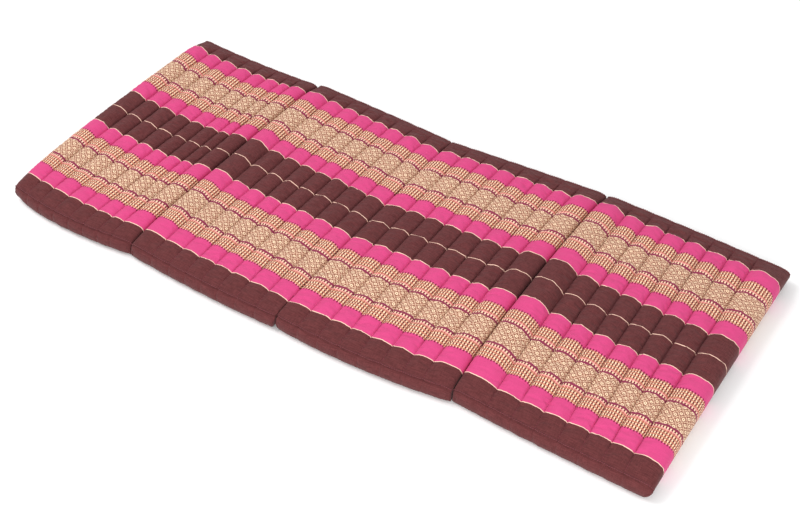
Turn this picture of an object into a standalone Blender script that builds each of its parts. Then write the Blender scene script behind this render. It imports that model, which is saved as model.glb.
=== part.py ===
"""Folding floor mattress: four stuffed panels of eight channels each, joined by three sewn seams, lying open.

Metres, +Z up. X runs along the mattress, Y across it, and the channels run across it too.
The origin is the middle of the footprint, on the floor.
"""

import math

import bmesh
import bpy

HALF_WIDTH = 0.466  # from the centre line to a side, on average
GROOVE_HEIGHT = 0.056  # bottom of a sewn groove on top
WIDEST_HEIGHT = 0.024  # where the long sides reach furthest out
UNDER_GROOVE_DEPTH = 0.004
UNDER_GROOVE_HALF = 0.009
SEAM_SHEET = 0.002  # two layers of sewn cloth
CLEARANCE = 0.0003
CORNER_RADIUS = 0.018  # a panel's corners, seen from above
SIDE_BULGE = 0.002  # each channel pushes the long side out by this much

ARCH_STEPS = 5  # segments over a channel
HALF_ARCH_STEPS = 3
ROUND_STEPS = 4  # segments over the rounded half of a channel beside an open end
ARCH_POWER = 0.75
ROUND_POWER = 0.7

# A row for each panel from left to right: channel widths in mm, rise of a channel for its width, and how its
# left and right ends are made.
PANELS = (
    {"name": "panel_1", "widths": (71, 58, 62, 57, 50, 48, 38, 58), "rise": 0.21, "ends": ("free", "lower")},
    {"name": "panel_2", "widths": (78, 61, 57, 54, 55, 60, 64, 66), "rise": 0.20, "ends": ("lower", "upper")},
    {"name": "panel_3", "widths": (66, 60, 59, 58, 61, 60, 55, 79), "rise": 0.20, "ends": ("upper", "lower")},
    {"name": "panel_4", "widths": (96, 68, 64, 65, 63, 62, 66, 90), "rise": 0.25, "ends": ("lower", "free")},
)

# An end wall from its foot up to where the panel's top begins: (inset, height).
END_WALLS = {
    "free": ((0.030, 0.0), (0.017, 0.004), (0.008, 0.012), (0.002, 0.022), (0.0, 0.034)),
    "lower": ((0.004, 0.0), (0.0, 0.003), (0.0, 0.020), (0.0, 0.050)),
    "upper": ((0.014, 0.0), (0.007, 0.005), (0.003, 0.020), (0.0, 0.041), (0.0, 0.054)),
}

# A row for each ring from a long side inward: distance from its widest line, share of the height reached above
# and below that line, and share of the channels' rise.
SIDE_ROWS = (
    {"inset": 0.000, "above": 0.03, "below": 0.04, "rise": 0.00},
    {"inset": 0.003, "above": 0.38, "below": 0.58, "rise": 0.03},
    {"inset": 0.007, "above": 0.56, "below": 0.85, "rise": 0.10},
    {"inset": 0.013, "above": 0.70, "below": 0.98, "rise": 0.20},
    {"inset": 0.024, "above": 0.81, "below": 1.00, "rise": 0.33},
    {"inset": 0.048, "above": 0.92, "below": 1.00, "rise": 0.50},
    {"inset": 0.090, "above": 1.00, "below": 1.00, "rise": 0.66},
    {"inset": 0.160, "above": 1.00, "below": 1.00, "rise": 0.82},
    {"inset": 0.290, "above": 1.00, "below": 1.00, "rise": 0.95},
    {"inset": 0.466, "above": 1.00, "below": 1.00, "rise": 1.00},
)

# The mattress lies a little crooked. A row for each end, panel middle and joint from left to right: how far it
# leans along X for each metre across, how far it bows along X at the long sides, and how far the near and far
# sides reach from the centre line (m).
PLACES = (
    {"lean": 0.004, "bow": 0.010, "near": 0.440, "far": 0.463},
    {"lean": 0.030, "bow": -0.003, "near": 0.470, "far": 0.443},
    {"lean": 0.012, "bow": 0.004, "near": 0.456, "far": 0.464},
    {"lean": 0.013, "bow": 0.006, "near": 0.475, "far": 0.455},
    {"lean": 0.006, "bow": 0.003, "near": 0.475, "far": 0.440},
    {"lean": -0.008, "bow": 0.010, "near": 0.477, "far": 0.461},
    {"lean": -0.020, "bow": 0.014, "near": 0.445, "far": 0.476},
    {"lean": -0.045, "bow": 0.008, "near": 0.460, "far": 0.472},
    {"lean": -0.012, "bow": 0.003, "near": 0.462, "far": 0.457},
)

# A row for each sewn seam between two panels: the joint that it closes, how high it runs, and how far from the
# long sides it ends.
SEAMS = (
    {"name": "lower_seam_left", "joint": 1, "bottom": 0.001, "top": 0.014, "inset": 0.048},
    {"name": "upper_seam_middle", "joint": 2, "bottom": 0.0425, "top": 0.0535, "inset": 0.090},
    {"name": "lower_seam_right", "joint": 3, "bottom": 0.001, "top": 0.014, "inset": 0.048},
)

CLOTH_COLOUR = (0.62, 0.13, 0.17)
SEAM_COLOUR = (0.16, 0.035, 0.04)
CLOTH_ROUGHNESS = 0.85


def joint_places():
    """X of the left end, the three joints and the right end, centred on the origin."""
    lengths = [sum(panel["widths"]) / 1000 for panel in PANELS]
    places = [-sum(lengths) / 2]
    for length in lengths:
        places.append(places[-1] + length)
    return places


JOINTS = joint_places()


def at_place(x, column):
    """A column of PLACES at x, on a parabola through the two ends and the middle of the panel there."""
    x = min(max(x, JOINTS[0]), JOINTS[-1])
    index = max(i for i in range(len(PANELS)) if JOINTS[i] <= x)
    share = (x - JOINTS[index]) / (JOINTS[index + 1] - JOINTS[index])
    start, middle, end = (PLACES[2 * index + step][column] for step in range(3))
    swell = middle - (start + end) / 2
    return start * (1 - share) + end * share + swell * 4 * share * (1 - share)


def laid(x, y, z):
    """A point of the straight mattress moved to where the mattress really lies."""
    return (x + y * at_place(x, "lean") + (y / HALF_WIDTH) ** 2 * at_place(x, "bow"), y, z)


def arch(share):
    return math.sin(math.pi * share) ** ARCH_POWER


def groove_half(centre, half, rise, outward):
    """The half of a channel beside a sewn groove, from the crest out: (x, groove height, rise)."""
    points = []
    for step in range(HALF_ARCH_STEPS + 1):
        share = step / HALF_ARCH_STEPS
        points.append((centre + outward * half * share, GROOVE_HEIGHT, rise * arch(0.5 + share / 2)))
    return points


def open_half(centre, half, rise, outward, wall_top):
    """The half of a channel beside an open end, from the crest round to the top of the end wall."""
    points = []
    for step in range(ROUND_STEPS + 1):
        angle = math.pi / 2 * (1 - step / ROUND_STEPS)
        height = max(math.sin(angle), 0) ** ROUND_POWER
        x = centre + outward * half * max(math.cos(angle), 0) ** ROUND_POWER
        points.append((x, wall_top + (GROOVE_HEIGHT - wall_top) * height, rise * height))
    return points


def whole_channel(start, end, rise):
    """A channel between two grooves, from left to right."""
    shares = [step / ARCH_STEPS for step in range(ARCH_STEPS + 1)]
    return [(start + (end - start) * share, GROOVE_HEIGHT, rise * arch(share)) for share in shares]


def groove_places(panel, left, right):
    """X of the left end, the seven grooves and the right end of a panel."""
    edges = [left]
    for width in panel["widths"][:-1]:
        edges.append(edges[-1] + width / 1000)
    return edges + [right]


def top_points(panel, edges):
    """Points (x, groove height, rise) over the top of a panel, from its left end to its right end."""
    left_top, right_top = (END_WALLS[kind][-1][1] for kind in panel["ends"])
    last = len(edges) - 2
    points = []
    for index, (start, end) in enumerate(zip(edges, edges[1:])):
        rise = panel["rise"] * (end - start)
        centre, half = (start + end) / 2, (end - start) / 2
        channel = whole_channel(start, end, rise)
        if index == 0 and panel["ends"][0] != "upper":
            outer = open_half(centre, half, rise, -1, left_top)
            channel = outer[::-1] + groove_half(centre, half, rise, 1)[1:]
        if index == last and panel["ends"][1] != "upper":
            outer = open_half(centre, half, rise, 1, right_top)
            channel = groove_half(centre, half, rise, -1)[::-1] + outer[1:]
        points += channel if index == 0 else channel[1:]
    points[0] = (points[0][0], left_top, 0.0)
    points[-1] = (points[-1][0], right_top, 0.0)
    return points


def section_of(panel, edges):
    """Points (x, height, rise) round a panel's section: over the top, down the right wall and back below."""
    left, right = edges[0], edges[-1]
    left_wall, right_wall = (END_WALLS[kind][:-1] for kind in panel["ends"])
    section = top_points(panel, edges)
    section += [(right - inset, height, 0.0) for inset, height in reversed(right_wall)]
    for edge in reversed(edges[1:-1]):
        section.append((edge + UNDER_GROOVE_HALF, 0.0, 0.0))
        section.append((edge, UNDER_GROOVE_DEPTH, 0.0))
        section.append((edge - UNDER_GROOVE_HALF, 0.0, 0.0))
    section += [(left + inset, height, 0.0) for inset, height in left_wall]
    return section


def corner_inset(inset):
    """How far a rounded corner draws the ends in, this far from the side seam."""
    if inset >= CORNER_RADIUS:
        return 0.0
    return CORNER_RADIUS - math.sqrt(CORNER_RADIUS**2 - (CORNER_RADIUS - inset) ** 2)


def side_reach(x, side, edges):
    """Distance from the centre line to a long side at x, which bulges a little at each channel."""
    index = min(sum(edge <= x for edge in edges[1:-1]), len(edges) - 2)
    place = min(max((x - edges[index]) / (edges[index + 1] - edges[index]), 0.0), 1.0)
    return at_place(x, "near" if side < 0 else "far") + SIDE_BULGE * arch(place)


def ring_of(section, row, side, edges):
    """One ring of a panel: its section drawn in towards the long side on the given side (-1 near, 1 far)."""
    left, right = edges[0], edges[-1]
    across = 1 - row["inset"] / HALF_WIDTH
    pull = corner_inset(row["inset"])
    ring = []
    for x, height, rise in section:
        if x < edges[1]:
            x = edges[1] - (edges[1] - x) * (1 - pull / (edges[1] - left))
        elif x > edges[-2]:
            x = edges[-2] + (x - edges[-2]) * (1 - pull / (right - edges[-2]))
        share = row["above"] if height >= WIDEST_HEIGHT else row["below"]
        z = WIDEST_HEIGHT * (1 - share) + height * share + rise * row["rise"]
        ring.append(laid(x, side * across * side_reach(x, side, edges), z))
    return ring


def material_of(name, colour):
    material = bpy.data.materials.new(name)
    material.use_nodes = True
    shader = material.node_tree.nodes["Principled BSDF"]
    shader.inputs["Base Color"].default_value = (*colour, 1)
    shader.inputs["Roughness"].default_value = CLOTH_ROUGHNESS
    shader.inputs["Metallic"].default_value = 0.0
    material.diffuse_color = (*colour, 1)
    return material


def solid_from_rings(name, rings, material):
    """A closed body through rings of equally many points, its first and last ring filled."""
    shape = bmesh.new()
    rows = [[shape.verts.new(point) for point in ring] for ring in rings]
    count = len(rows[0])
    for first, second in zip(rows, rows[1:]):
        for index in range(count):
            following = (index + 1) % count
            shape.faces.new((first[index], second[index], second[following], first[following]))
    shape.faces.new(rows[0])
    shape.faces.new(rows[-1][::-1])
    bmesh.ops.recalc_face_normals(shape, faces=shape.faces)
    mesh = bpy.data.meshes.new(name)
    shape.to_mesh(mesh)
    shape.free()
    mesh.materials.append(material)
    body = bpy.data.objects.new(name, mesh)
    bpy.context.scene.collection.objects.link(body)
    return body


def make_panel(panel, index):
    """A filled panel between two joints, half a seam sheet and the clearance away from each."""
    away = [0.0 if kind == "free" else SEAM_SHEET / 2 + CLEARANCE for kind in panel["ends"]]
    edges = groove_places(panel, JOINTS[index] + away[0], JOINTS[index + 1] - away[1])
    section = section_of(panel, edges)
    near = [ring_of(section, row, -1, edges) for row in SIDE_ROWS]
    far = [ring_of(section, row, 1, edges) for row in SIDE_ROWS[-2::-1]]
    cloth = material_of(f"{panel['name']}_cloth", CLOTH_COLOUR)
    body = solid_from_rings(panel["name"], near + far, cloth)
    body.data.shade_smooth()
    return body


def make_seam(seam):
    """The sewn edges of two panels' cloth: a strip between their walls, with a ring at each of theirs."""
    joint = JOINTS[seam["joint"]]
    left, right = joint - SEAM_SHEET / 2, joint + SEAM_SHEET / 2
    bottom, top = seam["bottom"], seam["top"]
    insets = [row["inset"] for row in SIDE_ROWS if row["inset"] >= seam["inset"]]
    near = [-(1 - inset / HALF_WIDTH) * at_place(joint, "near") for inset in insets]
    far = [(1 - inset / HALF_WIDTH) * at_place(joint, "far") for inset in insets[-2::-1]]
    section = ((left, bottom), (right, bottom), (right, top), (left, top))
    rings = [[laid(x, y, z) for x, z in section] for y in near + far]
    return solid_from_rings(seam["name"], rings, material_of(f"{seam['name']}_cloth", SEAM_COLOUR))


def centre_on_origin(bodies):
    """Moves all the pieces together so that the middle of the footprint is the origin."""
    points = [vertex.co for body in bodies for vertex in body.data.vertices]
    for axis in (0, 1):
        values = [point[axis] for point in points]
        middle = (min(values) + max(values)) / 2
        for point in points:
            point[axis] -= middle


for old in list(bpy.data.objects):
    bpy.data.objects.remove(old)
pieces = [make_panel(panel, index) for index, panel in enumerate(PANELS)]
pieces += [make_seam(seam) for seam in SEAMS]
centre_on_origin(pieces)
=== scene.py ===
import math

import bmesh
import bpy
import numpy as np
from mathutils import Matrix, Vector, noise
from mathutils.bvhtree import BVHTree


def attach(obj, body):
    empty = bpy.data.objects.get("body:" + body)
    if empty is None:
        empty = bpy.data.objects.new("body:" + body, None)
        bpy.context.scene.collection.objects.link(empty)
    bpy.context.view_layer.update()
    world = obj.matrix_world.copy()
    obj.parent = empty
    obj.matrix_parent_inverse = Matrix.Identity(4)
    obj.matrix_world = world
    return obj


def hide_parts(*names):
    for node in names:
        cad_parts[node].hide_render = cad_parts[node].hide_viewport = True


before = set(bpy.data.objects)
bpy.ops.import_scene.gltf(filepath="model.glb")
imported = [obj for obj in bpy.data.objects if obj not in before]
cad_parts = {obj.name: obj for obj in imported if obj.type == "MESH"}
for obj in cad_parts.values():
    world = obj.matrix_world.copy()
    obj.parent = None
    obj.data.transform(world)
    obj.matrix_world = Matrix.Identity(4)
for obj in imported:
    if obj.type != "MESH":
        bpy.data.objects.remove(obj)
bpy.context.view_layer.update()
scene = bpy.context.scene
print("stage: frame loaded")


# the four stuffed panels; the shifts say how far (mm) the stripes lie from their even places at four
# stations from left to right, on the near, middle and far line; loft is how full each channel is
panels = (
    {"name": "mattressPanel1", "node": "panel_1", "ends": ("free", "lower"), "seed": 3.1,
     "nearShift": (14, -2, -6, 3), "middleShift": (2, -9, -12, 8), "farShift": (13, -13, -15, 0),
     "loft": (0.95, 0.90, 0.90, 0.92, 0.92, 0.90, 0.95, 1.08)},
    {"name": "mattressPanel2", "node": "panel_2", "ends": ("lower", "upper"), "seed": 17.4,
     "nearShift": (5, -4, -8, -16), "middleShift": (14, -2, -6, -18), "farShift": (2, -6, -16, -30),
     "loft": (1.02, 0.76, 0.80, 0.82, 0.74, 0.76, 0.80, 0.74)},
    {"name": "mattressPanel3", "node": "panel_3", "ends": ("upper", "lower"), "seed": 31.9,
     "nearShift": (-16, -12, -6, 12), "middleShift": (-18, -3, 3, 24), "farShift": (-30, -7, -4, 22),
     "loft": (0.72, 0.80, 0.76, 0.78, 0.80, 0.80, 0.84, 1.02)},
    {"name": "mattressPanel4", "node": "panel_4", "ends": ("lower", "free"), "seed": 48.2,
     "nearShift": (20, 4, 5, 1), "middleShift": (28, 13, 7, 3), "farShift": (22, 7, 1, -20),
     "loft": (0.95, 0.76, 0.76, 0.74, 0.75, 0.78, 0.74, 0.74)},
)

form = {
    "channels": 8,
    "segments": 16,  # columns over one channel
    "spacing": (0.32, 0.68),
    "rowPitch": 0.0046,  # rows across the width
    "grooveHeight": 0.0575, "widestHeight": 0.024, "underGrooveDepth": 0.004,
    "underGrooveHalf": 0.009, "underGroovePower": 1.3,
    "underGrooveInset": 0.02,  # the lines below start this far from the long sides
    "underGrooveFade": 0.04, "halfWidth": 0.466, "archPower": 0.80, "footPower": 1.8,
    "wallSteps": 7, "cornerRadius": 0.011,
    "closedCorner": 0.3,  # how much of that is left where a joint is closed on top
    "sideBulge": 0.0007,
}

# where an end wall starts below the top, how boxy the channel above it is, and how far its foot is drawn in
endWalls = {
    "free": {"top": 0.034, "roundPower": 2.857, "footHeight": 0.034, "footInset": 0.030, "feelAt": 0.034},
    "lower": {"top": 0.042, "roundPower": 2.5, "footHeight": 0.004, "footInset": 0.004, "feelAt": 0.045},
    "upper": {"top": 0.054, "footHeight": 0.041, "footInset": 0.014, "feelAt": 0.047},
}

# the long side from its widest line inward: share of the height above and below it, and of the channels'
# rise, which fades later on the far side
sideColumns = ("inset", "above", "below", "nearRise", "farRise")
sideRows = (
    (0.000, 0.00, 0.00, 0.00, 0.00),
    (0.003, 0.38, 0.58, 0.00, 0.00),
    (0.007, 0.56, 0.85, 0.02, 0.01),
    (0.013, 0.70, 0.98, 0.04, 0.03),
    (0.024, 0.81, 1.00, 0.09, 0.09),
    (0.048, 0.92, 1.00, 0.24, 0.38),
    (0.090, 1.00, 1.00, 0.50, 0.93),
    (0.160, 1.00, 1.00, 0.82, 1.00),
    (0.290, 1.00, 1.00, 0.96, 1.00),
    (0.466, 1.00, 1.00, 1.00, 1.00),
)
sideInsets = (0.0, 0.0008, 0.002, 0.0036, 0.0055, 0.0075, 0.0093, 0.0105, 0.0114, 0.0120, 0.0125, 0.0130,
              0.0136, 0.0145, 0.016, 0.0185, 0.022, 0.0265, 0.0315, 0.037)
seamInset = 0.0125  # the sewn ridge along the long sides


def smoothCurve(column, at):  # one column of sideRows as a smooth curve
    columns = dict(zip(sideColumns, np.array(sideRows).T))
    knots, values = columns["inset"] ** 0.5, columns[column]
    slopes = np.gradient(values, knots)
    slopes[-1] = 0.0
    at = np.clip(np.asarray(at, float), 0, columns["inset"][-1]) ** 0.5
    index = np.clip(np.searchsorted(knots, at, side="right") - 1, 0, len(knots) - 2)
    width = knots[index + 1] - knots[index]
    t = (at - knots[index]) / width
    start, end = values[index], values[index + 1]
    return ((2 * t**3 - 3 * t**2 + 1) * start + (t**3 - 2 * t**2 + t) * width * slopes[index]
            + (3 * t**2 - 2 * t**3) * end + (t**3 - t**2) * width * slopes[index + 1])


def addPiece(name, data):
    piece = bpy.data.objects.new(name, data)
    scene.collection.objects.link(piece)
    return piece


def feel(tree, start, towards):  # first point of the solid on a straight way
    return tree.ray_cast(Vector(start), Vector(towards))[0]


probe = {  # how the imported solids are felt
    "level": 0.0002,  # points within this of a height lie on it
    "endMargin": 0.022, "middleHalf": 0.02,
    "apart": 0.005,  # places closer than this are on one sewn line
    "lineMargin": 0.03, "lineReach": 0.025,
    "halfLength": 0.36,  # each end is felt along this much of it either way
    "stations": 9, "sideShare": 0.95, "outside": 1.3, "away": 0.1, "overhead": 0.3,
    "belowWidest": 0.0005,
    "crestBase": 0.056,  # the crests count from here
}


def measurePanel(panel):  # groove lines, ends, side reach and crests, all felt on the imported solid
    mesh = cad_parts[panel["node"]].data
    points = np.array([vertex.co for vertex in mesh.vertices])
    tree = BVHTree.FromPolygons([tuple(p) for p in points], [tuple(f.vertices) for f in mesh.polygons])
    low, high = points.min(axis=0), points.max(axis=0)

    # the sewn lines, from the points in the hollows below
    margin = probe["endMargin"]
    under = points[abs(points[:, 2] - form["underGrooveDepth"]) < probe["level"]]
    under = under[(under[:, 0] > low[0] + margin) & (under[:, 0] < high[0] - margin)]
    seeds = np.unique(under[abs(under[:, 1]) < probe["middleHalf"]][:, 0].round(4))
    seeds = [x for i, x in enumerate(seeds) if i == 0 or x - seeds[i - 1] > probe["apart"]]
    seeds = [x for x in seeds if min(x - low[0], high[0] - x) > probe["lineMargin"]]
    nearest = np.argmin(abs(under[:, :1] - np.array(seeds)), axis=1)
    close = abs(under[:, 0] - np.array(seeds)[nearest]) < probe["lineReach"]
    under, nearest = under[close], nearest[close]
    lines = [np.polyfit(under[nearest == i, 1], under[nearest == i, 0], 2) for i in range(len(seeds))]

    # both ends, the long sides and the crests
    ways = np.linspace(-probe["halfLength"], probe["halfLength"], probe["stations"])
    for end, kind in enumerate(panel["ends"]):
        height = endWalls[kind]["feelAt"]
        start, towards = (low[0] - probe["away"], 1) if end == 0 else (high[0] + probe["away"], -1)
        places = [feel(tree, (start, y, height), (towards, 0, 0)).x for y in ways]
        line = np.polyfit(ways, places, 2)
        lines = [line] + lines if end == 0 else lines + [line]
    reach = {}
    height = form["widestHeight"] - probe["belowWidest"]
    for side, y in (("near", low[1]), ("far", high[1])):
        xs = [np.polyval(line, y * probe["sideShare"]) for line in lines[1:-1]]
        ys = [feel(tree, (x, y * probe["outside"], height), (0, -np.sign(y), 0)).y for x in xs]
        reach[side] = np.polyfit(xs, ys, 2)
    crests = []
    for first, second in zip(lines, lines[1:]):
        x = (np.polyval(first, 0) + np.polyval(second, 0)) / 2
        crests.append(feel(tree, (x, 0.0, probe["overhead"]), (0, 0, -1)).z - probe["crestBase"])
    print("  ", panel["node"], "grooves at", [round(float(np.polyval(line, 0)), 3) for line in lines])
    return {"lines": lines, "reach": reach, "crests": crests}


def spacedShares(count):  # closer together at the grooves
    even = np.linspace(0, 1, count + 1)
    evenShare, crowdedShare = form["spacing"]
    return evenShare * even + crowdedShare * (0.5 - 0.5 * np.cos(np.pi * even))


def arch(share):
    return np.sin(np.pi * np.clip(share, 0, 1)) ** form["archPower"]


def topOfChannel(index, crest, panel):  # rows of (channel, share, base height, rise) over one channel
    shares = spacedShares(form["segments"])
    rows = [[index, s, form["grooveHeight"], crest * arch(s)] for s in shares]
    for end, kind in enumerate(panel["ends"]):
        if kind == "upper" or index != (0 if end == 0 else form["channels"] - 1):
            continue
        wallTop, power = endWalls[kind]["top"], endWalls[kind]["roundPower"]
        for row in rows:
            outward = (0.5 - row[1]) * 2 if end == 0 else (row[1] - 0.5) * 2
            if outward <= 0:
                continue
            angle = math.pi / 2 * (1 - outward)
            radius = (math.cos(angle) ** power + math.sin(angle) ** power) ** (-1 / power)
            across, up = radius * math.cos(angle), radius * math.sin(angle)
            row[1] = 0.5 - 0.5 * across if end == 0 else 0.5 + 0.5 * across
            row[2] = wallTop + (form["grooveHeight"] - wallTop) * up
            row[3] = crest * up
    return rows


def wallRows(kind, index, share):  # the end wall below its top: (channel, share, inset, height)
    wall = endWalls[kind]
    rows = []
    if wall["top"] > wall["footHeight"]:
        middle = (wall["top"] + wall["footHeight"]) / 2
        rows += [(index, share, 0.0, middle), (index, share, 0.0, wall["footHeight"])]
    for step in range(1, form["wallSteps"]):
        angle = math.pi / 2 * (step / form["wallSteps"])
        inset = wall["footInset"] * (1 - math.cos(angle) ** (2 / form["footPower"]))
        height = wall["footHeight"] * (1 - math.sin(angle) ** (2 / form["footPower"]))
        rows.append((index, share, inset, height))
    return rows


def sectionOf(panel, measured):  # one closed loop of columns round the panel
    last = form["channels"] - 1
    top = []
    for index, crest in enumerate(measured["crests"]):
        rows = topOfChannel(index, crest * panel["loft"][index], panel)
        top += rows if index == last else rows[:-1]
    loop = [(c, s, 0.0, b, r, 0) for c, s, b, r in top]
    loop += [(c, s, -i, h, 0.0, 1) for c, s, i, h in wallRows(panel["ends"][1], last, 1.0)]
    loop += [(c, s, 0.0, 0.0, 0.0, 2) for c, s, b, r in top[::-1]]
    loop += [(c, s, i, h, 0.0, 1) for c, s, i, h in wallRows(panel["ends"][0], 0, 0.0)[::-1]]
    names = ("channel", "share", "inset", "height", "rise", "part")
    return {name: np.array([column], float) for name, column in zip(names, zip(*loop))}


def rowPlaces():  # every row from the near side to the far side: (side, inset)
    half = form["halfWidth"]
    inner = half - sideInsets[-1]
    count = round(2 * inner / form["rowPitch"])
    near = [(-1, inset) for inset in sideInsets[:-1]]
    middle = [(-1 if y < 0 else 1, half - abs(y)) for y in np.linspace(-inner, inner, count)]
    far = [(1, inset) for inset in sideInsets[-2::-1]]
    return near + middle + far


def wave(x, y, z, octaves=1):  # smooth noise from -1 to 1, the same on each run
    value, gain = 0.0, 1.0
    for octave in range(octaves):
        value += gain * noise.noise(Vector((x, y, z)) * 2**octave)
        gain /= 2
    return value


waveAll = np.vectorize(wave)

relief = {
    "usualRise": 0.012,  # of a channel
    "lumpHeight": 0.0016,  # uneven stuffing
    "lumpLength": 0.11, "smallLumpShare": 0.6, "smallLumpLength": 0.06,
    "puckerHeight": 0.0013,  # cloth gathered by the sewn lines
    "puckerLength": 0.013, "puckerReach": 0.012, "puckerPower": 1.3, "puckerStart": 0.002,
    "alongLength": 0.03,  # how soon lumps and puckers change along the panel
    "lineSway": 0.0011,  # sewn lines aren't quite straight
    "lineSwayLength": 0.07,
    "threadBite": 0.0034,  # the thread draws the groove in
    "threadBiteHalf": 0.0026,
    "ridgeHeight": 0.0032,  # the side seam, with a groove below it
    "ridgeHalf": 0.0012, "ridgeOut": 0.75, "ridgeUp": 0.65, "ridgeGroove": 0.8,
    "ridgeGrooveBelow": 0.0034, "ridgeGrooveHalf": 0.0018,
    "grooveCreaseDepth": 0.0024,  # where each sewn line runs out into the long side
    "grooveCreaseHalf": 0.0032, "grooveCreaseReach": 0.024,
    "farCrease": 0.3,  # what is left of it on the far side
    "sideCreaseDepth": 0.0012, "sideCreaseLength": 0.03, "sideCreaseRise": 0.05,
    "sideCreaseReach": 0.022,
}
cushion = {  # the stuffing's push in the cloth simulation, and how the cloth is held against it
    "frames": 10, "cap": 0.004,
    "settings": {
        "quality": 3, "mass": 0.2, "tension_stiffness": 8.0, "compression_stiffness": 8.0,
        "shear_stiffness": 4.0, "bending_stiffness": 0.05, "use_pressure": True,
        "uniform_pressure_force": 1.5, "vertex_group_mass": "held", "pin_stiffness": 4.0,
        "shrink_min": -0.03,
    },
    "lineHalf": 0.0016, "sideHeld": 0.004, "sideFade": 0.03, "sideEase": 0.97, "endHold": 0.35,
}
clothLines = {"outer": 0.3895, "halfCloth": 0.47, "underShift": 1.5}


def clothShift(panel, x, across):  # how far the cloth has been pulled along Y at a place
    left, right = panel["span"]
    share = np.clip((x - left) / (right - left), -0.02, 1.02)
    stations = np.linspace(0, 1, len(panel["nearShift"]))
    near, middle, far = (np.polyval(np.polyfit(stations, np.array(panel[k]) / 1000, 3), share)
                         for k in ("nearShift", "middleShift", "farShift"))
    t = np.clip(across / clothLines["outer"], -1.2, 1.2)
    return middle + (far - near) / 2 * t + ((near + far) / 2 - middle) * t**2


def clothPlace(panel, x, y):  # the place across the cloth that lies at x and y
    across = y
    for _ in range(4):
        across = y - clothShift(panel, x, across)
    return across


def bell(distance, half):
    return np.exp(-((distance / half) ** 2))


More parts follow.
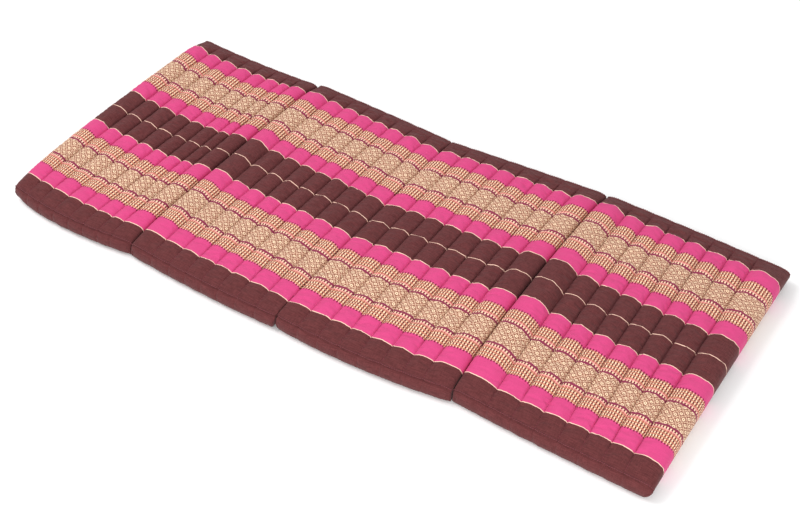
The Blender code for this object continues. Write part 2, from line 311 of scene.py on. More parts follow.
def buildPanel(panel):
    measured = measurePanel(panel)
    section = sectionOf(panel, measured)
    rows = rowPlaces()
    side = np.array([row[0] for row in rows])[:, None]
    inset = np.array([row[1] for row in rows])[:, None]
    across = side * (1 - inset / form["halfWidth"])
    channel, share = section["channel"].astype(int), section["share"]
    top, under = section["part"] == 0, section["part"] == 2
    firstChannel, lastChannel = channel == 0, channel == form["channels"] - 1
    leftHalf, rightHalf = firstChannel & (share < 0.5), lastChannel & (share > 0.5)

    # where each column meets the long side, and how far out that is
    lines = np.array(measured["lines"])
    straight = np.array([np.polyval(line, 0) for line in lines])
    panel["span"] = (straight[0], straight[-1])
    x0 = straight[channel] + (straight[channel + 1] - straight[channel]) * share
    bulge = form["sideBulge"] * np.sin(np.pi * share) ** 2
    nearReach = -np.polyval(measured["reach"]["near"], x0) + bulge
    farReach = np.polyval(measured["reach"]["far"], x0) + bulge
    y = across * np.where(side < 0, nearReach, farReach)

    # heights
    above, below = smoothCurve("above", inset), smoothCurve("below", inset)
    swell = np.where(side < 0, smoothCurve("nearRise", inset), smoothCurve("farRise", inset))
    widest = form["widestHeight"]
    height = section["height"] + np.zeros_like(y)
    level = np.where(height >= widest, above, below)
    z = widest * (1 - level) + height * level
    toGroove = np.minimum(share, 1 - share) * (straight[channel + 1] - straight[channel])
    openEnd = np.zeros_like(share, bool)
    for kind, half in zip(panel["ends"], (leftHalf, rightHalf)):
        if kind != "upper":
            openEnd |= half
    sewn = top & ~openEnd

    # uneven stuffing: long soft lumps along each channel; odd factors only move a noise to another place
    seed = panel["seed"]
    lump = waveAll(y / relief["lumpLength"], channel * 3.7 + seed, seed, 2)
    swing = 1 + 0.5 * relief["lumpHeight"] / relief["usualRise"] * lump
    z = z + top * section["rise"] * swell * swing
    lump = waveAll(y / relief["smallLumpLength"], x0 / relief["alongLength"], seed + 5, 2)
    z = z + top * relief["lumpHeight"] * relief["smallLumpShare"] * lump * swell

    # puckers that fan out from the sewn lines, and the thread's own bite
    grooveSide = channel + (share > 0.5)
    sideways = grooveSide * 5.3 + x0 / relief["alongLength"]
    pucker = waveAll(y / relief["puckerLength"], sideways, seed + 9, 2)
    fade = np.exp(-((toGroove / relief["puckerReach"]) ** relief["puckerPower"]))
    fade = fade * (1 - bell(toGroove, relief["puckerStart"]))
    z = z + sewn * relief["puckerHeight"] * pucker * fade * np.clip(swell * 1.6, 0, 1)
    bite = relief["threadBite"] * bell(toGroove, relief["threadBiteHalf"])
    z = z - sewn * bite * np.clip(swell * 2, 0, 1)

    # the flat underside with its sewn lines
    dip = np.clip(1 - toGroove / form["underGrooveHalf"], 0, 1) ** form["underGroovePower"]
    dip = dip * form["underGrooveDepth"]
    fade = np.clip((inset - form["underGrooveInset"]) / form["underGrooveFade"], 0, 1)
    z = z + (under & ~leftHalf & ~rightHalf) * dip * fade

    # the side seam's ridge and the creases that run down from each groove
    ridge = bell(inset - seamInset, relief["ridgeHalf"])
    hollow = bell(inset - seamInset + relief["ridgeGrooveBelow"], relief["ridgeGrooveHalf"])
    ridge = ~under * relief["ridgeHeight"] * (ridge - relief["ridgeGroove"] * hollow)
    y = y + side * ridge * relief["ridgeOut"]
    z = z + ridge * relief["ridgeUp"]
    upward = side * 3.0 + z / relief["sideCreaseRise"]
    crease = waveAll(x0 / relief["sideCreaseLength"], upward, seed + 21, 2)
    y = y + side * relief["sideCreaseDepth"] * crease * bell(inset, relief["sideCreaseReach"])
    runOut = bell(toGroove, relief["grooveCreaseHalf"]) * bell(inset, relief["grooveCreaseReach"])
    runOut = runOut * np.where(top, 1.0, (1 - below) * under)
    y = y - side * relief["grooveCreaseDepth"] * runOut * np.where(side < 0, 1.0, relief["farCrease"])

    # plan places: lean and bow of the sewn lines, rounded corners, drawn-in feet
    downLine = y[:, :1] / relief["lineSwayLength"]
    sway = np.array([waveAll(downLine, k * 7.7, seed + 2)[:, 0] for k in range(len(lines))])
    sway[0] = sway[-1] = 0.0
    places = np.array([np.polyval(line, y) for line in lines])
    places = places + relief["lineSway"] * sway[:, :, None]
    pick = channel[None] + np.zeros((1, *y.shape), int)
    first = np.take_along_axis(places, pick, axis=0)[0]
    second = np.take_along_axis(places, pick + 1, axis=0)[0]
    radius = form["cornerRadius"]
    pull = np.where(inset < radius, radius - np.sqrt(np.maximum(radius**2 - (radius - inset) ** 2, 0)), 0.0)
    drawn = []  # how far each end is drawn in
    for kind in panel["ends"]:
        corner = pull * (form["closedCorner"] if kind == "upper" else 1.0)
        drawn.append(corner + endWalls[kind]["footInset"] * below * under)
    first = first + firstChannel * drawn[0]
    second = second - lastChannel * drawn[1]
    x = first + (second - first) * share + section["inset"] * below

    # how firmly the cloth is held: by its sewn lines, the side seams, the filling's edges and the floor
    hold = np.where(top, bell(toGroove, cushion["lineHalf"]), 1.0)
    sideHold = 1 - np.clip((inset - cushion["sideHeld"]) / cushion["sideFade"], 0, 1) * cushion["sideEase"]
    hold = np.maximum(hold, sideHold)
    hold = np.maximum(hold, (openEnd & top) * cushion["endHold"])

    # cloth coordinates in metres: along follows the surface over the channels, across follows the stripes
    middle = len(rows) // 2
    stepLength = np.hypot(np.diff(x[middle]), np.diff(z[middle]))
    along = np.concatenate([[0.0], np.cumsum(stepLength)]) + x[middle][0]
    firstTop = int(np.argmax(top))
    leftWall = np.arange(share.size) > np.argmax(under) + under.sum() - 1
    closing = math.hypot(x[middle][-1] - x[middle][0], z[middle][-1] - z[middle][0])
    along = np.where(leftWall, along - along[-1] + along[firstTop] - closing, along)
    down = np.hypot(np.gradient(inset[:, 0]), np.gradient(above[:, 0]) * (form["grooveHeight"] - widest))
    slack = np.maximum(down - abs(np.gradient(inset[:, 0])), 0)
    slack = np.concatenate([-np.cumsum(slack[:middle][::-1])[::-1], np.cumsum(slack[middle:])])[:, None]
    topAcross = clothPlace(panel, x, y) + slack
    underAcross = clothLines["underShift"] + across * clothLines["halfCloth"] + slack + np.zeros_like(y)
    cloth = (along, topAcross, underAcross)
    return meshFromGrid(panel, (x, y, z), hold, cloth, inset[:, 0], section["part"][0])


def meshFromGrid(panel, places, hold, clothPlaces, insets, part):
    x, y, z = places
    along, topAcross, underAcross = clothPlaces
    rowCount, columnCount = x.shape
    points = np.stack([x, y, z], axis=-1).reshape(-1, 3)
    faces, corners, slots = [], [], []
    for row in range(rowCount - 1):
        belowSeam = max(insets[row], insets[row + 1]) < seamInset + 1e-6
        for column in range(columnCount):
            following = (column + 1) % columnCount
            loop = ((row, column), (row + 1, column), (row + 1, following), (row, following))
            faces.append([r * columnCount + c for r, c in loop])
            isUnder = belowSeam or part[column] == 2 and part[following] == 2
            slots.append(int(isUnder))
            for r, c in loop:
                if isUnder:
                    corners.append((x[r, c], underAcross[r, c]))
                else:
                    corners.append((along[c], topAcross[r, c]))
    mesh = bpy.data.meshes.new(panel["name"])
    mesh.from_pydata(points.tolist(), [], faces)
    layer = mesh.uv_layers.new(name="cloth")
    layer.data.foreach_set("uv", np.array(corners, np.float32).ravel())
    mesh.polygons.foreach_set("material_index", np.array(slots, np.int32))
    held = mesh.attributes.new("hold", "FLOAT", "POINT")
    held.data.foreach_set("value", hold.astype(np.float32).ravel())
    shape = bmesh.new()
    shape.from_mesh(mesh)
    bmesh.ops.remove_doubles(shape, verts=shape.verts, dist=0.00003)
    bmesh.ops.recalc_face_normals(shape, faces=shape.faces)
    shape.to_mesh(mesh)
    shape.free()
    mesh.shade_smooth()
    mesh.materials.append(materials["stripedCotton"])
    mesh.materials.append(materials["underCotton"])
    return addPiece(panel["name"], mesh), grooveRuns(x, y, z, part, insets)


def settleCloth(piece):  # the stuffing presses the cloth out between its held lines
    mesh = piece.data
    weights = np.zeros(len(mesh.vertices), np.float32)
    mesh.attributes["hold"].data.foreach_get("value", weights)
    group = piece.vertex_groups.new(name="held")
    for index, weight in enumerate(weights):
        group.add([index], float(weight), "REPLACE")
    before = np.zeros(len(mesh.vertices) * 3, np.float32)
    mesh.vertices.foreach_get("co", before)
    cloth = piece.modifiers.new("cloth", "CLOTH")
    for name, value in cushion["settings"].items():
        setattr(cloth.settings, name, value)
    cloth.settings.effector_weights.gravity = 0
    cloth.collision_settings.use_collision = False
    for moment in range(1, cushion["frames"] + 1):
        scene.frame_set(moment)
    evaluated = piece.evaluated_get(bpy.context.evaluated_depsgraph_get())
    after = np.zeros_like(before)
    evaluated.data.vertices.foreach_get("co", after)
    piece.modifiers.remove(cloth)
    piece.vertex_groups.clear()
    move = (after - before).reshape(-1, 3)
    length = np.linalg.norm(move, axis=1, keepdims=True)
    move = move * np.minimum(1, cushion["cap"] / np.maximum(length, 1e-9))
    mesh.vertices.foreach_set("co", (before.reshape(-1, 3) + move).ravel())
    mesh.update()
    scene.frame_set(1)
    most, usual = float(length.max()) * 1000, float(np.median(length)) * 1000
    print("   cloth moved up to", round(most, 1), "mm, middle", round(usual, 2))


stitch = {
    "length": 0.0042, "pitch": 0.0066, "thickness": 0.0009, "lift": 0.0003,
    "seamLift": 0.0006,  # on the side seams' ridges
    "topInset": 0.016,  # the lines start this far from the long sides
    "underInset": 0.036,
}


def grooveRuns(x, y, z, part, insets):  # points along the sewn lines, above and below, and the side seams
    columns, channels = form["segments"], form["channels"]
    underStart = int(np.argmax(part == 2))
    runs = []
    for start, lift, margin in ((0, stitch["lift"], stitch["topInset"]),
                                (underStart, -stitch["lift"], stitch["underInset"])):
        rows = [r for r, inset in enumerate(insets) if inset > margin]
        for c in (start + k * columns for k in range(1, channels)):
            runs.append([(x[r, c], y[r, c], z[r, c] + lift) for r in rows])
    lift = stitch["seamLift"]
    ridgeColumns = range(3, columns * channels - 2)
    for r in (i for i, inset in enumerate(insets) if abs(inset - seamInset) < 1e-6):
        outward = -lift if r < len(insets) / 2 else lift
        runs.append([(x[r, c], y[r, c] + outward, z[r, c] + lift) for c in ridgeColumns])
    return runs


def colour(*levels):  # from red, green and blue as they look on a screen, 0 to 255
    shares = [level / 255 for level in levels]
    return tuple(s / 12.92 if s < 0.04 else ((s + 0.055) / 1.055) ** 2.4 for s in shares) + (1.0,)


class Bench:  # places shader nodes in a tree and joins them
    def __init__(self, tree):
        self.tree = tree

    def put(self, kind, fed=(), **settings):  # fed says what goes into which socket
        node = self.tree.nodes.new(kind)
        for name, value in settings.items():
            setattr(node, name, value)
        for socket, value in dict(fed).items():
            self.feed(node.inputs[socket], value)
        return node

    def feed(self, socket, value):
        if isinstance(value, bpy.types.NodeSocket):
            self.tree.links.new(value, socket)
        else:
            socket.default_value = value

    def maths(self, operation, *values):
        return self.put("ShaderNodeMath", dict(enumerate(values)), operation=operation).outputs[0]

    def chain(self, operation, values):
        total = values[0]
        for value in values[1:]:
            total = self.maths(operation, total, value)
        return total

    def plus(self, *values):
        return self.chain("ADD", values)

    def times(self, *values):
        return self.chain("MULTIPLY", values)

    def minus(self, first, second):
        return self.maths("SUBTRACT", first, second)

    def over(self, first, second):
        return self.maths("DIVIDE", first, second)

    def repeat(self, value):  # -0.5 to 0.5 within each repeat
        return self.minus(self.maths("FRACT", value), 0.5)

    def rampUp(self, value, start, end):  # 0 before start, 1 after end
        fed = {"Value": value, "From Min": start, "From Max": end}
        return self.put("ShaderNodeMapRange", fed, interpolation_type="SMOOTHSTEP").outputs["Result"]

    def below(self, value, edge, soft):  # 1 under the edge, 0 above it
        return self.minus(1.0, self.rampUp(value, edge - soft, edge + soft))

    def within(self, value, low, high, soft):
        up = self.rampUp(value, low - soft, low + soft)
        down = self.rampUp(value, high - soft, high + soft)
        return self.maths("SUBTRACT", up, down)

    def mix(self, mask, first, second):
        return self.put("ShaderNodeMix", {0: mask, 6: first, 7: second}, data_type="RGBA").outputs[2]

    def vector(self, x, y):
        return self.put("ShaderNodeCombineXYZ", {0: x, 1: y}).outputs[0]

    def scaled(self, vector, amount):
        return self.put("ShaderNodeVectorMath", {0: vector, "Scale": amount}, operation="SCALE").outputs[0]

    def cloud(self, vector, scale, detail):
        fed = {"Vector": vector, "Scale": scale, "Detail": detail}
        return self.put("ShaderNodeTexNoise", fed).outputs["Fac"]


def newGroup(name, inputs, outputs):
    group = bpy.data.node_groups.new(name, "ShaderNodeTree")
    for label, value in inputs:
        socket = group.interface.new_socket(label, in_out="INPUT", socket_type="NodeSocketFloat")
        socket.default_value = value
    for label in outputs:
        group.interface.new_socket(label, in_out="OUTPUT", socket_type="NodeSocketFloat")
    bench = Bench(group)
    return group, bench, bench.put("NodeGroupInput").outputs, bench.put("NodeGroupOutput").inputs


yarn = {  # streaks per metre along and across the stripes, and how much each kind shows
    "long": (38.0, 420.0), "cross": (420.0, 60.0), "fuzz": (460.0, 460.0), "longShare": 0.62,
    "crossShare": 0.38, "streakEdges": (0.36, 0.66), "knotHeight": 0.5, "streakHeight": 0.7,
    "knotShade": 0.03, "fuzzShade": 0.18, "streakShade": 0.07, "leastShade": 0.875,
}


def weaveGroup():  # plain weave with uneven yarns both ways
    inputs = (("Along", 0.0), ("Across", 0.0), ("Threads per metre", 1400.0))
    group, bench, given, out = newGroup("plainWeave", inputs, ("Height", "Shade", "Streak"))

    def streaks(scales, detail):
        along, across = bench.times(given["Along"], scales[0]), bench.times(given["Across"], scales[1])
        return bench.cloud(bench.vector(along, across), 1.0, detail)

    turns = bench.times(given["Threads per metre"], math.pi)
    waves = [bench.maths("SINE", bench.times(given[way], turns)) for way in ("Along", "Across")]
    knots = bench.times(*waves)
    longYarns = bench.times(streaks(yarn["long"], 2.0), yarn["longShare"])
    crossYarns = bench.times(streaks(yarn["cross"], 2.0), yarn["crossShare"])
    fuzz = streaks(yarn["fuzz"], 3.0)
    streak = bench.rampUp(bench.plus(longYarns, crossYarns), *yarn["streakEdges"])
    heights = (bench.times(knots, yarn["knotHeight"]), bench.times(streak, yarn["streakHeight"]), fuzz)
    shades = (bench.times(knots, yarn["knotShade"]), bench.times(fuzz, yarn["fuzzShade"]),
              bench.times(streak, yarn["streakShade"]), yarn["leastShade"])
    bench.feed(out["Height"], bench.plus(*heights))
    bench.feed(out["Shade"], bench.plus(*shades))
    bench.feed(out["Streak"], streak)
    return group


def wearGroup():  # broad unevenness of a used and washed cloth
    group, bench, given, out = newGroup("softFading", (("Amount", 0.1), ("Patch size", 0.16)), ("Factor",))
    place = bench.put("ShaderNodeTexCoord").outputs["Object"]
    cloud = bench.cloud(bench.scaled(place, bench.over(1.0, given["Patch size"])), 1.0, 3.0)
    bench.feed(out["Factor"], bench.plus(1.0, bench.times(bench.minus(cloud, 0.5), given["Amount"])))
    return group


groups = {"weave": weaveGroup(), "wear": wearGroup()}

stripes = {  # half distances from the centre line (m)
    "centreLine": 0.0010,
    "innerLine": (0.0854, 0.0875),
    "pink": (0.0875, 0.3895),
    "pattern": (0.1410, 0.3370),
    "outerLine": (0.3895, 0.3916),
    "soft": 0.0003,
    "wobble": 0.0016,  # the stripes' edges aren't quite straight
    "wobbles": (160.0, 20.0),
    "maroon": colour(85, 38, 39),
    "maroonYarn": colour(102, 48, 49),
    "pinkColour": colour(208, 68, 125),
    "cream": colour(250, 208, 186),
}
motif = {  # the woven band, measured from its pink edge inward (m)
    "threadAlong": 0.00042,
    "threadAcross": 0.00060,
    "dashPitch": 0.0083,
    "dashRow": 0.0102,
    "rowShift": 0.0016,
    "tips": (0.0040, 0.0056),
    "paleLine": (0.0435, 0.0457),
    "squares": (0.0473, 0.0531),
    "twist": (0.0537, 0.0598),
    "twistTurn": 0.0030,
    "field": 0.0585,
    "blend": (0.0003, 0.0004),  # half widths of the change to peach and to the field
    "rustBefore": (0.0014, 0.0008),  # the dark edge before the pale line
    "dropWidth": (0.01, 0.25),  # from here on, shares of a repeat
    "dropEdge": (-0.03, 0.05),
    "dash": (0.24, 0.32),
    "dashHeight": (0.46, 0.74),
    "blush": (-0.34, -0.22, 0.03),
    "blushHeight": (0.1, 0.4),
    "blushShare": 0.4,
    "tieHeight": (0.30, 0.56),
    "tieShare": 0.8,
    "tip": (0.24, 0.36),
    "square": (0.19, 0.27),
    "twistLight": (0.2, 0.9),
    "twistShare": 0.5,
    "creamThread": colour(248, 216, 182),
    "peach": colour(190, 118, 94),
    "rust": colour(80, 20, 26),
    "wine": colour(118, 30, 52),
    "brightRust": colour(196, 62, 88),
    "paleRose": colour(236, 160, 150),
    "plum": colour(120, 40, 74),
}
flower = {  # the field in the band's middle
    "along": 0.0240,
    "across": 0.0232,
    "radius": 0.0046,
    "budShare": 0.55,
    "petalDepth": 0.12,
    "rim": (1.42, 0.10),  # edge and softness, in radii
    "petals": (0.98, 0.06),
    "heart": (0.34, 0.08),
    "dots": 2.0,  # small dots to each flower
    "dotEdges": (-0.60, 0.25),
    "bend": 0.45,  # how far the small dots leave their lattice
    "curl": 0.06,  # and the stems their diagonals
    "sway": 0.05,
    "leaf": (0.13, 0.20, 0.03),
    "leafShare": 0.35,
    "stem": (0.05, 0.02),
    "stemShare": 0.5,
    "petalColour": motif["creamThread"],
    "ground": colour(160, 102, 78),
    "leafColour": colour(240, 202, 172),
    "line": colour(124, 66, 52),
}


def roundMark(bench, u, v, size, petals):  # distance from a petalled mark's middle, 1 at its edge
    distance = bench.maths("SQRT", bench.plus(bench.times(u, u), bench.times(v, v)))
    angle = bench.maths("ARCTAN2", v, u)
    lobes = bench.times(bench.maths("COSINE", bench.times(angle, petals)), flower["petalDepth"])
    return bench.over(distance, bench.times(bench.plus(lobes, 1.0), size))


def flowerField(bench, along, across):  # flowers on a diamond lattice, with buds, leaves and stems
    u, v = bench.over(along, flower["along"]), bench.over(across, flower["across"])
    turnU, turnV = bench.times(u, 2 * math.pi), bench.times(v, 2 * math.pi)
    bentU = bench.plus(turnU, bench.times(bench.maths("SINE", turnV), flower["bend"]))
    bentV = bench.plus(turnV, bench.times(bench.maths("SINE", turnU), flower["bend"]))
    hatch = [bench.maths("COSINE", bench.times(bent, flower["dots"])) for bent in (bentU, bentV)]
    dots = bench.rampUp(bench.times(*hatch), *flower["dotEdges"])
    tone = bench.mix(dots, flower["ground"], flower["leafColour"])

    curl = bench.times(bench.maths("SINE", bench.times(u, 4 * math.pi)), flower["curl"])
    sway = bench.times(bench.maths("SINE", bench.times(v, 4 * math.pi)), flower["sway"])
    for diagonal in (bench.plus(u, v, 0.5, curl), bench.plus(bench.minus(u, v), 0.5, sway)):
        away = bench.maths("ABSOLUTE", bench.repeat(diagonal))
        leaf = bench.times(bench.within(away, *flower["leaf"]), flower["leafShare"])
        stem = bench.times(bench.below(away, *flower["stem"]), flower["stemShare"])
        tone = bench.mix(leaf, tone, flower["leafColour"])
        tone = bench.mix(stem, tone, flower["line"])

    whole = {"size": flower["radius"], "petals": 6.0, "tint": flower["petalColour"]}
    bud = {"size": flower["radius"] * flower["budShare"], "petals": 4.0, "tint": flower["leafColour"]}
    for shiftU, shiftV, mark in ((0.5, 0.0, bud), (0.0, 0.5, bud), (0.0, 0.0, whole), (0.5, 0.5, whole)):
        markU = bench.times(bench.repeat(bench.plus(u, shiftU)), flower["along"])
        markV = bench.times(bench.repeat(bench.plus(v, shiftV)), flower["across"])
        ring = roundMark(bench, markU, markV, mark["size"], mark["petals"])
        for part, tint in (("rim", flower["line"]), ("petals", mark["tint"]), ("heart", flower["line"])):
            tone = bench.mix(bench.below(ring, *flower[part]), tone, tint)
    return tone


def wovenBand(bench, along, distance):  # distance is half the way across the cloth
    along = bench.maths("SNAP", along, motif["threadAlong"])  # the same over each bundle of threads
    distance = bench.maths("SNAP", distance, motif["threadAcross"])
    low, high = stripes["pattern"]
    inward = bench.maths("MINIMUM", bench.minus(distance, low), bench.minus(high, distance))
    centre = bench.minus(distance, (low + high) / 2)
    column = bench.repeat(bench.over(along, motif["dashPitch"]))
    offColumn = bench.maths("ABSOLUTE", column)
    rowPlace = bench.maths("FRACT", bench.over(bench.plus(inward, motif["rowShift"]), motif["dashRow"]))
    belly = bench.maths("SINE", bench.times(rowPlace, math.pi))

    # cream drops in columns with dark dashes between them, tied across by peach threads
    least, more = motif["dropWidth"]
    dropWidth = bench.plus(bench.times(belly, more), least)
    drop = bench.rampUp(bench.minus(dropWidth, offColumn), *motif["dropEdge"])
    dash = bench.times(bench.rampUp(offColumn, *motif["dash"]), bench.rampUp(belly, *motif["dashHeight"]))
    blush = bench.times(bench.within(column, *motif["blush"]), bench.rampUp(belly, *motif["blushHeight"]))
    blush = bench.times(blush, motif["blushShare"])
    tie = bench.minus(1.0, bench.rampUp(belly, *motif["tieHeight"]))
    tie = bench.times(tie, motif["tieShare"])
    tone = bench.mix(dash, motif["peach"], motif["rust"])
    for mask, tint in ((drop, "creamThread"), (blush, "brightRust"), (tie, "peach")):
        tone = bench.mix(mask, tone, motif[tint])

    # its outer end: dark tips that stand in the pink
    tips = bench.minus(1.0, bench.rampUp(inward, *motif["tips"]))
    tipColour = bench.mix(bench.rampUp(offColumn, *motif["tip"]), stripes["pinkColour"], motif["wine"])
    tone = bench.mix(tips, tone, tipColour)

    # a pale line, a row of squares and a twisted line lead to the flowers
    squareColour = bench.mix(bench.rampUp(offColumn, *motif["square"]), motif["creamThread"], motif["wine"])
    paleLow, paleHigh = motif["paleLine"]
    squareLow, squareHigh = motif["squares"]
    rustStart, rustEnd = motif["rustBefore"]
    half, fieldHalf = motif["blend"]
    changes = (  # where each colour starts to take over on the way inward, where it has, and the colour
        (paleLow - rustStart, paleLow - rustEnd, motif["brightRust"]),
        (paleLow - 0.0002, paleLow + 0.0002, motif["paleRose"]),
        (paleHigh, squareLow, squareColour),
        (squareHigh - half, squareHigh + half, motif["peach"]),
        (motif["field"] - fieldHalf, motif["field"] + fieldHalf, flowerField(bench, along, centre)),
    )
    for start, end, tint in changes:
        tone = bench.mix(bench.rampUp(inward, start, end), tone, tint)
    turns = bench.times(bench.plus(along, inward), 2 * math.pi / motif["twistTurn"])
    light = bench.rampUp(bench.maths("SINE", turns), *motif["twistLight"])
    twist = bench.mix(bench.times(light, motif["twistShare"]), motif["plum"], motif["brightRust"])
    return bench.mix(bench.within(inward, *motif["twist"], stripes["soft"]), tone, twist)


def newMaterial(name):
    material = bpy.data.materials.new(name)
    material.use_nodes = True
    return material, Bench(material.node_tree), material.node_tree.nodes["Principled BSDF"]


def addBump(bench, shader, height, strength, distance):
    bump = bench.put("ShaderNodeBump", {"Strength": strength, "Distance": distance, "Height": height})
    bench.feed(shader.inputs["Normal"], bump.outputs["Normal"])


def stripedColour(bench, along, across, ground):
    soft = stripes["soft"]
    places = [bench.times(way, count) for way, count in zip((along, across), stripes["wobbles"])]
    cloud = bench.cloud(bench.vector(*places), 1.0, 2.0)
    wobble = bench.times(bench.minus(cloud, 0.5), stripes["wobble"])
    distance = bench.maths("ABSOLUTE", bench.plus(across, wobble))
    tone = bench.mix(bench.within(distance, *stripes["pink"], soft), ground, stripes["pinkColour"])
    band = wovenBand(bench, along, distance)
    tone = bench.mix(bench.within(distance, *stripes["pattern"], soft), tone, band)
    lines = [bench.within(distance, *stripes[line], soft) for line in ("innerLine", "outerLine")]
    centre = bench.below(distance, stripes["centreLine"], soft)
    return bench.mix(bench.plus(*lines, centre), tone, stripes["cream"])


surface = {
    "roughness": 0.95, "streakSmoothness": 0.1, "specular": 0.25, "sheen": 0.06,
    "sheenRoughness": 0.5,
    "bump": (0.35, 0.0004),  # strength and height (m)
    "fineWeave": 1400.0,  # threads per metre
    "coarseWeave": 1100.0, "threadFibres": 900.0, "threadShadow": 0.75, "threadRoughness": 0.7,
    "threadBump": (0.3, 0.0002),
}


def clothMaterial(name, striped, threads):
    material, bench, shader = newMaterial(name)
    uv = bench.put("ShaderNodeUVMap", uv_map="cloth")
    along, across, _ = bench.put("ShaderNodeSeparateXYZ", {0: uv.outputs["UV"]}).outputs
    fed = {"Along": along, "Across": across, "Threads per metre": threads}
    weave = bench.put("ShaderNodeGroup", fed, node_tree=groups["weave"])
    wear = bench.put("ShaderNodeGroup", node_tree=groups["wear"])
    streak = weave.outputs["Streak"]
    tone = bench.mix(streak, stripes["maroon"], stripes["maroonYarn"])
    if striped:
        tone = stripedColour(bench, along, across, tone)
    level = bench.times(weave.outputs["Shade"], wear.outputs["Factor"])
    bench.feed(shader.inputs["Base Color"], bench.scaled(tone, level))
    smoother = bench.times(streak, surface["streakSmoothness"])
    bench.feed(shader.inputs["Roughness"], bench.minus(surface["roughness"], smoother))
    shader.inputs["Specular IOR Level"].default_value = surface["specular"]
    shader.inputs["Sheen Weight"].default_value = surface["sheen"]
    shader.inputs["Sheen Roughness"].default_value = surface["sheenRoughness"]
    addBump(bench, shader, weave.outputs["Height"], *surface["bump"])
    return material


def threadMaterial(name, tint):
    material, bench, shader = newMaterial(name)
    place = bench.put("ShaderNodeTexCoord").outputs["Object"]
    cloud = bench.cloud(place, surface["threadFibres"], 2.0)
    darker = tuple(c * surface["threadShadow"] for c in tint[:3]) + (1.0,)
    bench.feed(shader.inputs["Base Color"], bench.mix(cloud, darker, tint))
    shader.inputs["Roughness"].default_value = surface["threadRoughness"]
    addBump(bench, shader, cloud, *surface["threadBump"])
    return material


materials = {
    "stripedCotton": clothMaterial("stripedCotton", True, surface["fineWeave"]),
    "underCotton": clothMaterial("underCotton", False, surface["coarseWeave"]),
    "seamCotton": clothMaterial("seamCotton", False, surface["coarseWeave"]),
    "thread": threadMaterial("sewingThread", colour(146, 52, 74)),
}
print("stage: materials made")


def stitchTree():  # a stitch on every pitch along the given lines
    tree = bpy.data.node_groups.new("stitchLine", "GeometryNodeTree")
    tree.interface.new_socket("Lines", in_out="INPUT", socket_type="NodeSocketGeometry")
    for label in ("Pitch", "Length", "Thickness"):
        socket = tree.interface.new_socket(label, in_out="INPUT", socket_type="NodeSocketFloat")
        socket.default_value = stitch[label.lower()]
    tree.interface.new_socket("Thread", in_out="INPUT", socket_type="NodeSocketMaterial")
    tree.interface.new_socket("Geometry", in_out="OUTPUT", socket_type="NodeSocketGeometry")
    bench = Bench(tree)
    given = bench.put("NodeGroupInput").outputs
    curve = bench.put("GeometryNodeMeshToCurve", {"Mesh": given["Lines"]})
    fed = {"Curve": curve.outputs["Curve"], "Length": given["Pitch"]}
    spaced = bench.put("GeometryNodeResampleCurve", fed, mode="LENGTH")
    bead = bench.put("GeometryNodeMeshUVSphere", {"Segments": 6, "Rings": 4, "Radius": 0.5})
    fed = {0: given["Thickness"], 1: given["Thickness"], 2: given["Length"]}
    size = bench.put("ShaderNodeCombineXYZ", fed)
    tangent = bench.put("GeometryNodeInputTangent").outputs["Tangent"]
    turned = bench.put("FunctionNodeAlignRotationToVector", {"Vector": tangent}, axis="Z")
    fed = {"Points": spaced.outputs["Curve"], "Instance": bead.outputs["Mesh"],
           "Rotation": turned.outputs["Rotation"], "Scale": size.outputs[0]}
    copies = bench.put("GeometryNodeInstanceOnPoints", fed)
    shown = copies.outputs["Instances"]
    for kind in ("RealizeInstances", "SetShadeSmooth", "SetMaterial"):
        node = bench.put("GeometryNode" + kind, {"Geometry": shown})
        shown = node.outputs["Geometry"]
    bench.feed(node.inputs["Material"], given["Thread"])
    bench.put("NodeGroupOutput", {"Geometry": shown})
    return tree


stitchNodes = stitchTree()


def sewStitches(name, runs):
    mesh = bpy.data.meshes.new(name + "Lines")
    points, edges = [], []
    for run in runs:
        start = len(points)
        points += run
        edges += [(start + i, start + i + 1) for i in range(len(run) - 1)]
    mesh.from_pydata(points, edges, [])
    guide = addPiece(name + "Lines", mesh)
    maker = guide.modifiers.new("stitches", "NODES")
    maker.node_group = stitchNodes
    for item in stitchNodes.interface.items_tree:
        if item.in_out == "INPUT" and item.name == "Thread":
            maker[item.identifier] = materials["thread"]
    bpy.context.view_layer.update()
    evaluated = guide.evaluated_get(bpy.context.evaluated_depsgraph_get())
    made = bpy.data.meshes.new_from_object(evaluated)
    made.name = name
    piece = addPiece(name, made)
    bpy.data.objects.remove(guide)
    return piece


for panel in panels:
    piece, runs = buildPanel(panel)
    settleCloth(piece)
    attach(piece, "root")
    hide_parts(panel["node"])
    stitches = sewStitches(panel["name"] + "Stitches", runs)
    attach(stitches, "root")
    counts = len(piece.data.polygons), len(stitches.data.polygons)
    print("stage:", panel["name"], counts[0], "faces,", counts[1], "in stitches")

# the sewn edges in the joints
seams = (
    {"name": "jointSeamLeft", "node": "lower_seam_left", "between": ["panel_1", "panel_2"]},
    {"name": "jointSeamMiddle", "node": "upper_seam_middle", "between": ["panel_2", "panel_3"],
     "stripesOf": panels[1]},
    {"name": "jointSeamRight", "node": "lower_seam_right", "between": ["panel_3", "panel_4"]},
)
seamForm = {
    "thickness": 0.0016, "topThickness": 0.0021, "topLift": 0.0014, "rows": 160, "ripple": 0.0003,
    "rippleLength": 0.02, "edgeRipple": 0.0006,
    "stripesAbove": 0.8,  # share of the height
}
seamSide = [(1.0, 0.1), (0.9, 0.5), (1.0, 0.9), (0.5, 1.0)]  # shares of half thickness and height
seamProfile = [(-out, up) for out, up in seamSide] + seamSide[::-1] + [(0.5, 0.0), (-0.5, 0.0)]


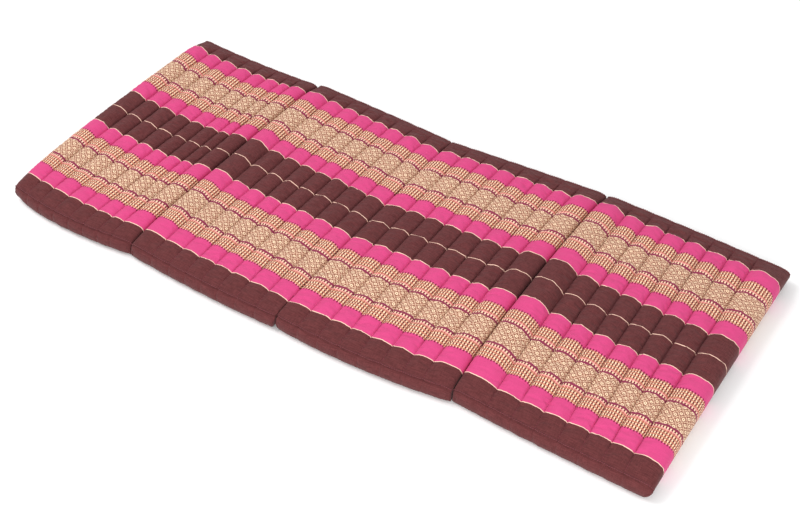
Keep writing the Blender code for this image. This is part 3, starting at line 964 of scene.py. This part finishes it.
def buildSeam(seam):  # two cloth edges sewn together, folded over at one edge
    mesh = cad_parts[seam["node"]].data
    points = np.array([vertex.co for vertex in mesh.vertices])
    low, high = points[:, 2].min(), points[:, 2].max()
    line = np.polyfit(points[:, 1], points[:, 0], 2)
    ys = np.linspace(points[:, 1].min(), points[:, 1].max(), seamForm["rows"])
    half = seamForm["thickness"] / 2
    if "stripesOf" in seam:
        half, high = seamForm["topThickness"] / 2, high + seamForm["topLift"]
    shape = bmesh.new()
    layer = shape.loops.layers.uv.new("cloth")
    rings = []
    for y in ys:
        sway = seamForm["ripple"] * wave(y / seamForm["rippleLength"], 4.0, 1.0)
        lift = seamForm["edgeRipple"] * wave(y / seamForm["rippleLength"], 9.0, 2.0)
        ring = []
        for out, share in seamProfile:
            height = low + (high - low) * share + (lift if 0.5 < share else -lift) * 0.5
            place = (np.polyval(line, y) + half * out + sway, y, min(max(height, low), high))
            ring.append(shape.verts.new(place))
        rings.append(ring)
    for first, second in zip(rings, rings[1:]):
        for i in range(len(seamProfile)):
            j = (i + 1) % len(seamProfile)
            face = shape.faces.new((first[i], second[i], second[j], first[j]))
            lowest = min(seamProfile[i][1], seamProfile[j][1])
            onTop = "stripesOf" in seam and lowest > seamForm["stripesAbove"]
            face.material_index = int(onTop)
            for loop in face.loops:
                x, y, z = loop.vert.co
                place = clothLines["underShift"] + y
                if onTop:
                    place = float(clothPlace(seam["stripesOf"], np.array(x), np.array(y)))
                loop[layer].uv = (z + x, place)
    shape.faces.new(rings[0])
    shape.faces.new(rings[-1][::-1])
    bmesh.ops.recalc_face_normals(shape, faces=shape.faces)
    made = bpy.data.meshes.new(seam["name"])
    shape.to_mesh(made)
    shape.free()
    made.shade_smooth()
    made.materials.append(materials["seamCotton"])
    made.materials.append(materials["stripedCotton"])
    return addPiece(seam["name"], made), float(ys[-1] - ys[0]), float(high - low)


for seam in seams:
    piece, length, width = buildSeam(seam)
    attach(piece, "root")
    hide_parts(seam["node"])
print("stage: seams made")

# camera, floor and light
view = {
    "focalLength": 71.39, "aim": (0.0976, -0.1211, 0.05), "azimuth": 30.43, "elevation": 41.86,
    "roll": -2.16, "distance": 4.295, "sensor": 36.0, "clip": (0.05, 50.0),
}


def placeCamera():
    azimuth, elevation, roll = (math.radians(view[k]) for k in ("azimuth", "elevation", "roll"))
    level = math.cos(elevation)
    back = Vector((math.sin(azimuth) * level, -math.cos(azimuth) * level, math.sin(elevation)))
    right = (-back).cross(Vector((0, 0, 1))).normalized()
    down = (-back).cross(right)
    turnedRight = right * math.cos(roll) + down * math.sin(roll)
    turnedDown = -right * math.sin(roll) + down * math.cos(roll)
    data = bpy.data.cameras.new("camera")
    data.lens = view["focalLength"]
    data.sensor_width = view["sensor"]
    data.clip_start, data.clip_end = view["clip"]
    camera = addPiece("camera", data)
    turn = Matrix((turnedRight, -turnedDown, back)).transposed().to_4x4()
    camera.matrix_world = Matrix.Translation(Vector(view["aim"]) + back * view["distance"]) @ turn
    scene.camera = camera


studio = {
    "floorColour": (0.96, 0.96, 0.96, 1.0),
    "floorReach": 30.0,
    "floorBelow": 0.0005,
    "worldColour": (1.0, 1.0, 1.0, 1.0),
    "worldStrength": 0.78,
    "lights": (
        {"name": "key", "place": (-4.4, -1.2, 6.0), "size": 3.6, "power": 260.0},
        {"name": "fill", "place": (2.6, -3.8, 2.0), "size": 2.2, "power": 125.0},
    ),
}


def placeFloor():
    mesh = bpy.data.meshes.new("floor")
    reach = studio["floorReach"]
    corners = [(x * reach, y * reach, 0) for x, y in ((-1, -1), (1, -1), (1, 1), (-1, 1))]
    mesh.from_pydata(corners, [], [(0, 1, 2, 3)])
    material, _, shader = newMaterial("paleFloor")
    shader.inputs["Base Color"].default_value = studio["floorColour"]
    shader.inputs["Roughness"].default_value = 0.9
    shader.inputs["Specular IOR Level"].default_value = 0.1
    mesh.materials.append(material)
    floor = addPiece("floor", mesh)
    floor.location.z = -studio["floorBelow"]


def placeLights():
    world = bpy.data.worlds.new("studio")
    world.use_nodes = True
    background = world.node_tree.nodes["Background"]
    background.inputs["Color"].default_value = studio["worldColour"]
    background.inputs["Strength"].default_value = studio["worldStrength"]
    scene.world = world
    for light in studio["lights"]:
        data = bpy.data.lights.new(light["name"], "AREA")
        data.size = light["size"]
        data.energy = light["power"]
        lamp = addPiece(light["name"], data)
        lamp.location = light["place"]
        lamp.rotation_euler = (Vector(light["place"]) * -1).to_track_quat("-Z", "Y").to_euler()


placeCamera()
placeFloor()
placeLights()
scene.view_settings.view_transform = "Standard"
print("stage: camera, floor and light placed")
